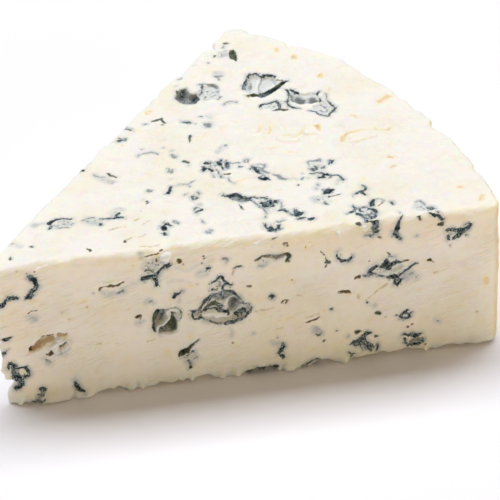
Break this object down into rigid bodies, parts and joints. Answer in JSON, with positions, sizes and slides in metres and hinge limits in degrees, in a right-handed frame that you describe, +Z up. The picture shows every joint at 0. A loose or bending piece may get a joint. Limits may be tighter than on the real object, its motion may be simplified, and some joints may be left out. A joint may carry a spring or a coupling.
{
  "type": "blue cheese wedge",
  "caption": "Wedge of blue-veined cheese lying on a cut face, with a curved rind end, a crumbled tip, chipped lower edges and small mould-lined hollows.",
  "frame": {"origin": "centre of the bounding box's underside, on the face that the wedge lies on", "axes": "+X along the front cut from the tip towards the rind, +Z up, the front cut facing -Y"},
  "size_m": [0.0988, 0.0796, 0.0328],
  "materials": {
    "cheese_paste": "moist, slightly translucent cream-white cheese paste with a soft satin surface, blue-green mould in veins and hollows, and a thin tan rind on the curved end"
  },
  "bodies": {
    "root": {"cheese_wedge": "cheese_paste"}
  },
  "joints": []
}
